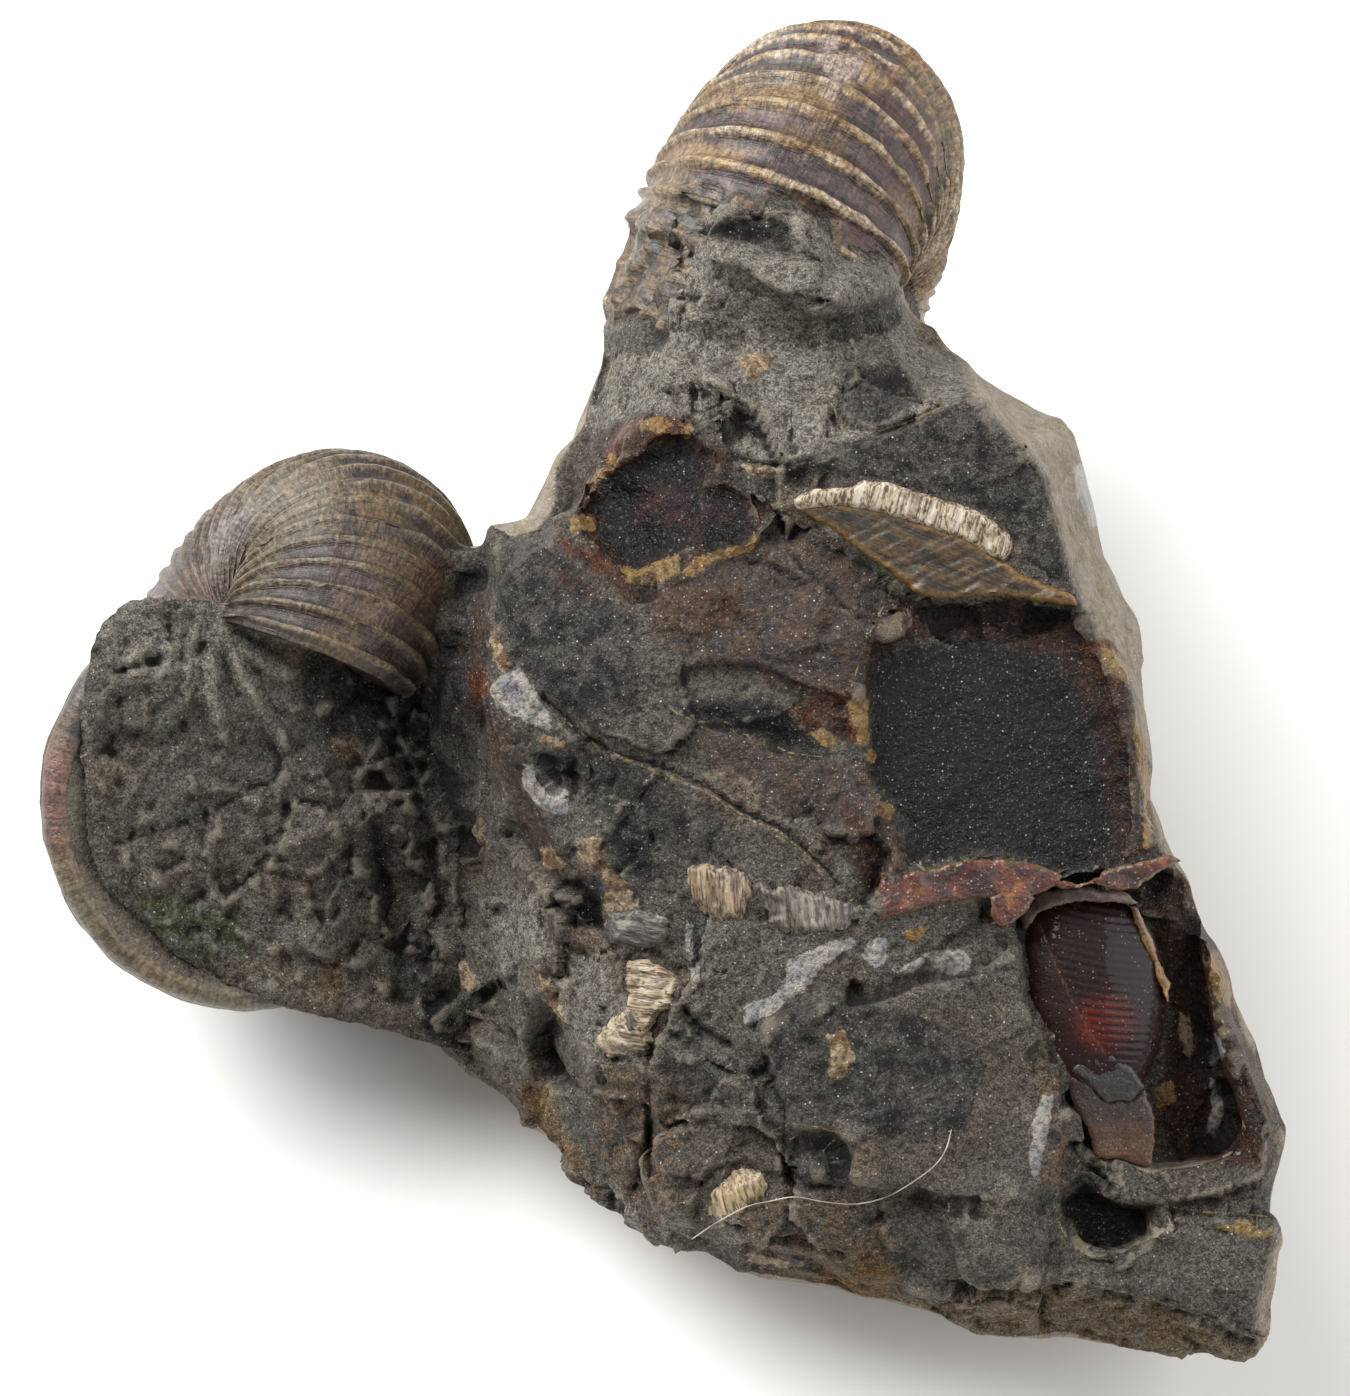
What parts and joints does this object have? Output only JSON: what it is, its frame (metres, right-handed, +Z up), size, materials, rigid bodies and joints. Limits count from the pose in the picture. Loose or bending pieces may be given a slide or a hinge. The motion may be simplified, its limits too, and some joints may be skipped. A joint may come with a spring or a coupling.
{
  "type": "heteromorph ammonite fossil",
  "caption": "Broken nodule of dark mudstone holding the ribbed, bent limbs of a heteromorph ammonite, lying flat on its back.",
  "frame": {"origin": "on the ground under the middle of the nodule, where its flat back rests", "axes": "+Z up from the ground, through the nodule's thickness; +Y towards the upper whorl; +X towards the side of the small shell"},
  "size_m": [0.0644, 0.0695, 0.037],
  "materials": {
    "dark_mudstone": "rough broken mudstone with silt grain",
    "ribbed_shell": "ribbed fossil shell, tan crests and dark grooves, satin",
    "weathered_shell": "weathered fossil shell and rock filling",
    "red_brown_shell": "fine-ribbed red-brown shell, glossy",
    "fibrous_shell": "broken cream and ochre fibrous shell",
    "red_brown_calcite": "glassy red-brown calcite"
  },
  "bodies": {
    "root": {"rock_matrix": "dark_mudstone", "upper_whorl": "ribbed_shell", "left_whorl": "weathered_shell", "small_shell": "red_brown_shell", "shell_plate": "fibrous_shell", "calcite_ledge": "red_brown_calcite"}
  },
  "joints": []
}
